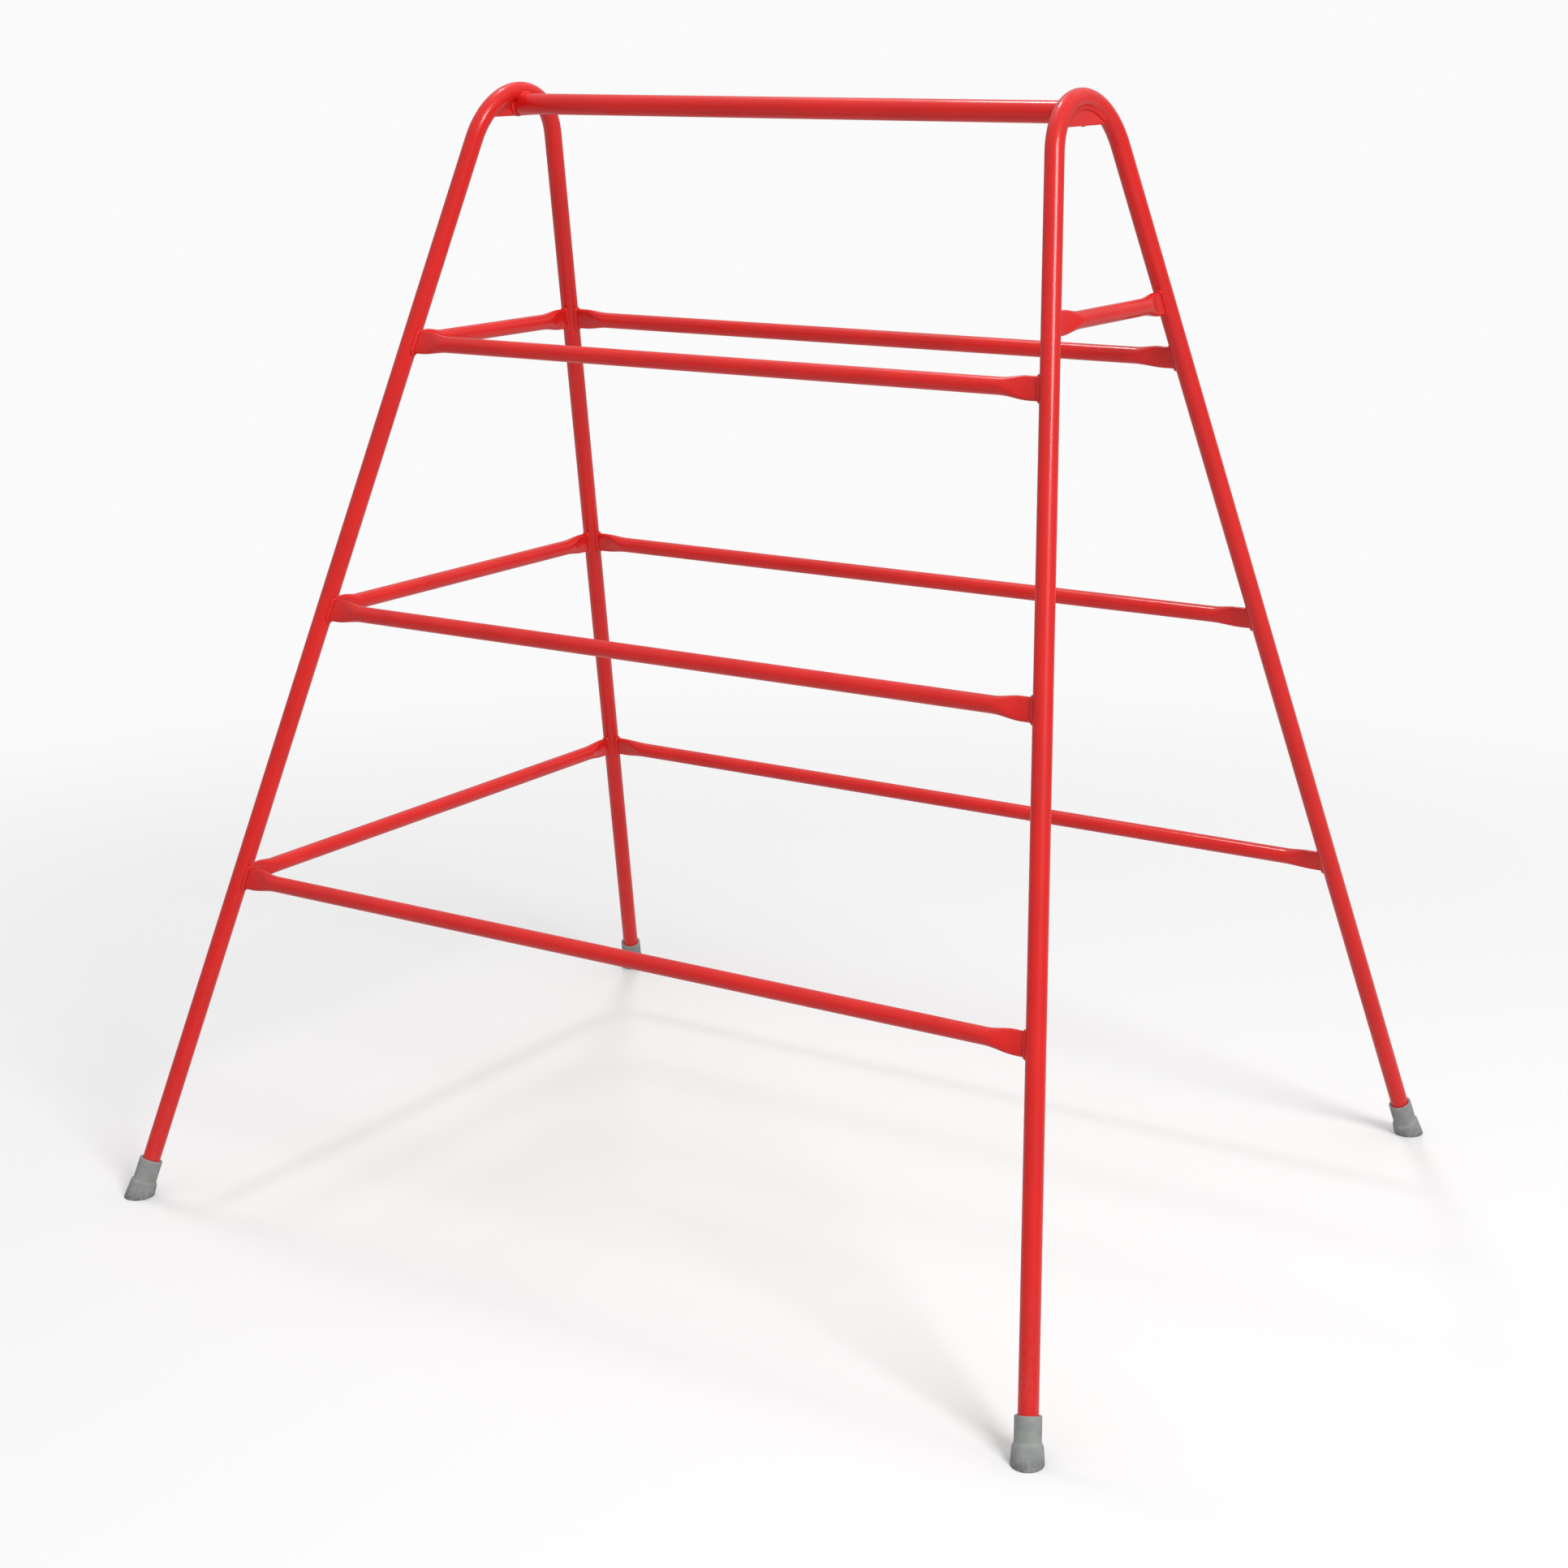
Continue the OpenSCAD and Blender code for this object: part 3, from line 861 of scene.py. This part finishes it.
class TRESTLE_OT_top_rail(bpy.types.Operator):
    """Add the thicker top rail, let in under the two bends and welded to the crown plates"""

    bl_idname = "trestle.top_rail"
    bl_label = "Top rail"

    def execute(self, context):
        tubes, welds = context.scene.trestle_tubes, context.scene.trestle_welds
        stand = Stand(tubes.hoop_d / 2)
        height = middle("top_rail").z
        rail_r = tubes.top_rail_d / 2
        face_x = stand.foot_x - height * tan(stand.lean) - tubes.plate_t / 2 / cos(stand.lean)
        centre = Vector((0, 0, height))
        tube = run_tree(
            shared_tree("Squashed tube"), bpy.data.meshes.new("seed"),
            length=2 * face_x, diameter=tubes.top_rail_d, end_thickness=tubes.top_rail_d, rings=8,
            end_shear=-tan(stand.lean), sink=welds.sink, sides=tubes.sides, material=finish("powder_coat"),
        )
        tube.transform(axes_matrix(Vector((0, -1, 0)), UP, Vector((1, 0, 0)), centre))
        beads = []
        for side in (LEFT, RIGHT):
            beads.append(bead_along(self.plate_ring(side, face_x, height, rail_r, stand.lean), True))
            beads.append(bead_along(self.saddle(stand, side, height, rail_r), False))
        add_piece("top_rail_coated", [tube, *beads], COAT_SLOT, "top_rail")
        return {"FINISHED"}

    def plate_ring(self, side, face_x, height, rail_r, lean, steps=96):
        """Points around the rail's end on the crown plate's inner face."""
        ring = []
        for step in range(steps):
            angle = 2 * pi * step / steps
            up = rail_r * cos(angle)
            ring.append(Vector((side * (face_x - up * tan(lean)), rail_r * sin(angle), height + up)))
        return ring

    def saddle(self, stand, side, height, rail_r, steps=48):
        """Points over the top of the rail where it enters the bend, on the side towards the middle."""
        points = []
        for step in range(steps + 1):
            angle = -SADDLE_REACH + 2 * SADDLE_REACH * step / steps
            offset = Vector((0, rail_r * sin(angle), height + rail_r * cos(angle)))
            clear, inside = CLEAR_OF_BEND * stand.foot_x, stand.foot_x - offset.z * tan(stand.lean)
            for _ in range(HALVINGS):
                half_way = (clear + inside) / 2
                if stand.bend_gap(side, offset + Vector((side * half_way, 0, 0))) > 0:
                    clear = half_way
                else:
                    inside = half_way
            points.append(offset + Vector((side * clear, 0, 0)))
        return points


class TRESTLE_OT_side_rails(bpy.types.Operator):
    """Add the three long rails on the front and the three on the back"""

    bl_idname = "trestle.side_rails"
    bl_label = "Side rails"

    def execute(self, context):
        stand = Stand(context.scene.trestle_tubes.hoop_d / 2)
        for face, word in FACE_WORD.items():
            for level in LEVELS:
                node = f"{word}_rail_{level}"
                ends = [stand.leg_at_height(side, face, middle(node).z) for side in (LEFT, RIGHT)]
                line = RailLine(*ends, stand.leg_direction(RIGHT, face))
                squashed_rail(node, line, stand.hoop_r)
        return {"FINISHED"}


class TRESTLE_OT_end_bars(bpy.types.Operator):
    """Add the three bars across the closed end and the high bar across the open end"""

    bl_idname = "trestle.end_bars"
    bl_label = "End bars"

    def execute(self, context):
        stand = Stand(context.scene.trestle_tubes.hoop_d / 2)
        bars = {f"left_bar_{level}": LEFT for level in LEVELS} | {"right_bar": RIGHT}
        for node, side in bars.items():
            ends = [stand.leg_at_height(side, face, middle(node).z) for face in (FRONT, BACK)]
            line = RailLine(*ends, stand.leg_direction(side, BACK))
            squashed_rail(node, line, stand.hoop_r)
        return {"FINISHED"}


class TRESTLE_OT_feet(bpy.types.Operator):
    """Add the four moulded rubber feet, cut level with the floor"""

    bl_idname = "trestle.feet"
    bl_label = "Feet"

    def execute(self, context):
        feet = context.scene.trestle_feet
        stand = Stand(context.scene.trestle_tubes.hoop_d / 2)
        for side, side_word in SIDE_WORD.items():
            for face, face_word in FACE_WORD.items():
                node = f"foot_{face_word}_{side_word}"
                add_piece(node + "_rubber", [self.foot_mesh(stand, side, face, feet)], RUBBER_SLOT, node)
        return {"FINISHED"}

    def profile(self, feet, hoop_r, shoulder_steps=8, rim_steps=6, socket_corner=0.001):
        """Half section of a foot above its sole, as (radius, height): base, shoulder, sleeve, rim, socket."""
        socket_r = hoop_r + feet.clearance
        sleeve_r = socket_r + feet.wall
        base_top_r = sleeve_r + (1 - BASE_DRAFT) * feet.flare
        base_levels = [f * feet.base_height for f in (0.5, 0.75, 0.95)]
        points = [(self.base_r(feet, hoop_r, level), level) for level in base_levels]
        for step in range(shoulder_steps + 1):
            f = step / shoulder_steps
            ease = f * f * (3 - 2 * f)
            radius = base_top_r + (sleeve_r - base_top_r) * ease
            points.append((radius, feet.base_height + feet.shoulder * f))
        sleeve_low, sleeve_high = feet.base_height + feet.shoulder, feet.height - feet.rim
        points += [(sleeve_r, sleeve_low + (sleeve_high - sleeve_low) * f) for f in (0.1, 0.5, 0.9)]
        mid_r, rim_r = (sleeve_r + socket_r) / 2, (sleeve_r - socket_r) / 2
        for step in range(rim_steps + 1):
            turn = pi * step / rim_steps
            points.append((mid_r + rim_r * cos(turn), sleeve_high + feet.rim * sin(turn)))
        points += [(socket_r, feet.socket_floor + socket_corner), (socket_r, feet.socket_floor)]
        return points

    def base_r(self, feet, hoop_r, height):
        """Radius of the base, which narrows from the floor to the shoulder."""
        foot_r = hoop_r + feet.clearance + feet.wall + feet.flare
        return foot_r - BASE_DRAFT * feet.flare * height / feet.base_height

    def sole_profile(self, feet, edge_steps=4):
        """Rings of the sole from its middle outwards, as (distance inside the outline, height): treads and
        grooves, then the rounded edge."""
        edge, groove = feet.sole_edge, feet.groove
        rings = []
        for tread in TREADS:
            outside = edge + tread * groove
            rings += [(outside + (1 + GROOVE_SLOPE) * groove, 0.0), (outside + groove, groove),
                      (outside + GROOVE_SLOPE * groove, groove), (outside, 0.0)]
        for step in range(edge_steps + 1):
            turn = pi / 2 * step / edge_steps
            rings.append((edge * (1 - sin(turn)), edge * (1 - cos(turn))))
        return rings

    def foot_mesh(self, stand, side, face, feet, steps=96):
        """One foot turned about its leg, with a level sole."""
        along = stand.leg_direction(side, face)
        first = along.cross(UP).normalized()
        second = along.cross(first)
        draft = BASE_DRAFT * feet.flare / feet.base_height
        turns = [2 * pi * step / steps for step in range(steps)]
        rays = [cos(turn) * first + sin(turn) * second for turn in turns]
        rings = []
        for inset, level in self.sole_profile(feet):
            heart = stand.on_leg(side, face, level / along.z)
            ring = []
            for step, ray in enumerate(rays):
                radius = self.seam_radius(self.base_r(feet, stand.hoop_r, 0.0), step, steps)
                height = (level - radius * ray.z) / (along.z - draft * ray.z)
                point = stand.on_leg(side, face, height) + (radius - draft * height) * ray
                ring.append(point + inset * (heart - point).normalized())
            rings.append(ring)
        for radius, height in self.profile(feet, stand.hoop_r):
            centre = stand.on_leg(side, face, height)
            ring = [centre + self.seam_radius(radius, step, steps) * ray for step, ray in enumerate(rays)]
            rings.append(ring)
        return lathed_mesh("foot", rings, finish("moulded_rubber"))

    def seam_radius(self, radius, step, steps):
        """The mould's parting line stands a little proud on two sides."""
        return radius + (SEAM_PROUD if step % (steps // 2) == 0 else 0.0)


class TRESTLE_OT_washers(bpy.types.Operator):
    """Give the steel washers in the feet their plated finish"""

    bl_idname = "trestle.washers"
    bl_label = "Washers"

    def execute(self, context):
        for name, washer in frame["nodes"].items():
            if name.startswith("washer"):
                washer.data.materials.clear()
                washer.data.materials.append(finish("plated_steel"))
        return {"FINISHED"}


class TRESTLE_OT_stage(bpy.types.Operator):
    """Add the floor, the air, the lights and the camera"""

    bl_idname = "trestle.stage"
    bl_label = "Stage"

    def execute(self, context):
        self.floor(context)
        self.air(context)
        studio = context.scene.trestle_studio
        top = middle("top_rail").z
        self.softbox(context, "key_light", KEY_PLACE, Vector((0, 0, 0.5 * top)), KEY_SIZE, studio.key_power)
        self.softbox(context, "top_light", TOP_PLACE, Vector((0, 0, top)), TOP_SIZE, studio.top_power)
        self.camera(context, studio, top)
        context.scene.view_settings.view_transform = "Standard"
        return {"FINISHED"}

    def floor(self, context):
        """A wide floor that fades into the air some way off, so that no horizon shows."""
        half, fade_start, fade_end = 60.0, 0.9, 3.0
        lit_tone, seen_tone = (0.60, 0.60, 0.60), (0.92, 0.92, 0.92)
        mesh = bpy.data.meshes.new("floor")
        corners = [(-half, -half, 0), (half, -half, 0), (half, half, 0), (-half, half, 0)]
        mesh.from_pydata(corners, [], [(0, 1, 2, 3)])
        floor = bpy.data.objects.new("floor", mesh)
        context.scene.collection.objects.link(floor)
        backdrop = context.scene.trestle_finishes.backdrop
        material, graph, shader = new_finish("floor_paint")
        shader.inputs["Roughness"].default_value = 0.9
        shader.inputs["Specular IOR Level"].default_value = 0.1
        seen = Amount(graph, graph.node("ShaderNodeLightPath").outputs["Is Camera Ray"])
        graph.feed(shader.inputs["Base Color"], blend_colours(graph, seen, lit_tone, seen_tone))
        glow = graph.node("ShaderNodeEmission", {"Color": (*backdrop, 1.0), "Strength": 1.0})
        place = graph.node("ShaderNodeTexCoord").outputs["Object"]
        measured = graph.node("ShaderNodeVectorMath", {0: place}, operation="LENGTH")
        away = Amount(graph, measured.outputs["Value"])
        fade = graph.smooth_step(away, fade_start, fade_end) * seen
        mixed = graph.node("ShaderNodeMixShader", {"Fac": fade, 1: shader.outputs[0], 2: glow.outputs[0]})
        graph.feed(graph.tree.nodes["Material Output"].inputs["Surface"], mixed.outputs[0])
        graph.arrange()
        mesh.materials.append(material)

    def air(self, context):
        """Pale air: even where it is seen, and for light brighter above than below."""
        world = bpy.data.worlds.new("air")
        context.scene.world = world
        world.use_nodes = True
        graph = Graph(world.node_tree)
        even = world.node_tree.nodes["Background"]
        even.inputs["Color"].default_value = (*context.scene.trestle_finishes.backdrop, 1.0)
        direction = graph.node("ShaderNodeTexCoord").outputs["Generated"]
        rise = graph.node("ShaderNodeSeparateXYZ", {"Vector": direction})
        sky = graph.smooth_step(Amount(graph, rise.outputs["Z"]), -0.3, 0.8)
        below, more_above = 0.45, 0.75
        strength = (below + sky * more_above) * context.scene.trestle_studio.air_light
        lighting = graph.node("ShaderNodeBackground", {"Color": (1.0, 1.0, 1.0, 1.0), "Strength": strength})
        seen = graph.node("ShaderNodeLightPath").outputs["Is Camera Ray"]
        mixed = graph.node("ShaderNodeMixShader", {"Fac": seen, 1: lighting.outputs[0], 2: even.outputs[0]})
        graph.feed(world.node_tree.nodes["World Output"].inputs["Surface"], mixed.outputs[0])
        graph.arrange()

    def softbox(self, context, name, place, target, size, power):
        lamp = bpy.data.lights.new(name, "AREA")
        lamp.energy, lamp.size = power, size
        holder = bpy.data.objects.new(name, lamp)
        facing = (target - place).to_track_quat("-Z", "Y").to_matrix().to_4x4()
        holder.matrix_world = Matrix.Translation(place) @ facing
        holder.visible_camera = False
        context.scene.collection.objects.link(holder)

    def camera(self, context, studio, top):
        """The camera stands in front, to the right and just above the top rail's height."""
        data = bpy.data.cameras.new("camera")
        data.lens, data.sensor_width = studio.lens, SENSOR_W
        data.clip_end = 200.0
        flat = cos(studio.pitch)
        ahead = Vector((-sin(studio.heading) * flat, cos(studio.heading) * flat, -sin(studio.pitch)))
        right = ahead.cross(UP).normalized()
        over = right.cross(ahead)
        rolled_right = right * cos(studio.roll) + over * sin(studio.roll)
        rolled_over = over * cos(studio.roll) - right * sin(studio.roll)
        holder = bpy.data.objects.new("camera", data)
        place = Vector(studio.camera_place) * top
        holder.matrix_world = axes_matrix(rolled_right, rolled_over, -ahead, place)
        context.scene.collection.objects.link(holder)
        context.scene.camera = holder


OPERATORS = (
    TRESTLE_OT_stage,
    TRESTLE_OT_hoops,
    TRESTLE_OT_crown_plates,
    TRESTLE_OT_top_rail,
    TRESTLE_OT_side_rails,
    TRESTLE_OT_end_bars,
    TRESTLE_OT_feet,
    TRESTLE_OT_washers,
)


class TRESTLE_PT_sidebar(bpy.types.Panel):
    """Sizes, colours and pieces of the trestle."""

    bl_idname = "TRESTLE_PT_sidebar"
    bl_label = "Climbing trestle"
    bl_space_type = "VIEW_3D"
    bl_region_type = "UI"
    bl_category = "Trestle"

    def draw(self, context):
        for operator in OPERATORS:
            self.layout.operator(operator.bl_idname)
        for name, group in PROPERTY_GROUPS.items():
            box = self.layout.box()
            box.label(text=group.__doc__.split(".")[0])
            for size in group.__annotations__:
                box.prop(getattr(context.scene, name), size)


def register():
    for group in PROPERTY_GROUPS.values():
        bpy.utils.register_class(group)
    for name, group in PROPERTY_GROUPS.items():
        setattr(bpy.types.Scene, name, bpy.props.PointerProperty(type=group))
    for operator in (*OPERATORS, TRESTLE_PT_sidebar):
        bpy.utils.register_class(operator)


def unregister():
    for operator in (TRESTLE_PT_sidebar, *reversed(OPERATORS)):
        bpy.utils.unregister_class(operator)
    for name, group in PROPERTY_GROUPS.items():
        delattr(bpy.types.Scene, name)
        bpy.utils.unregister_class(group)


def main():
    """Builds the whole trestle on its stage."""
    register()
    for operator in OPERATORS:
        family, name = operator.bl_idname.split(".")
        getattr(getattr(bpy.ops, family), name)()


if __name__ == "__main__":
    main()
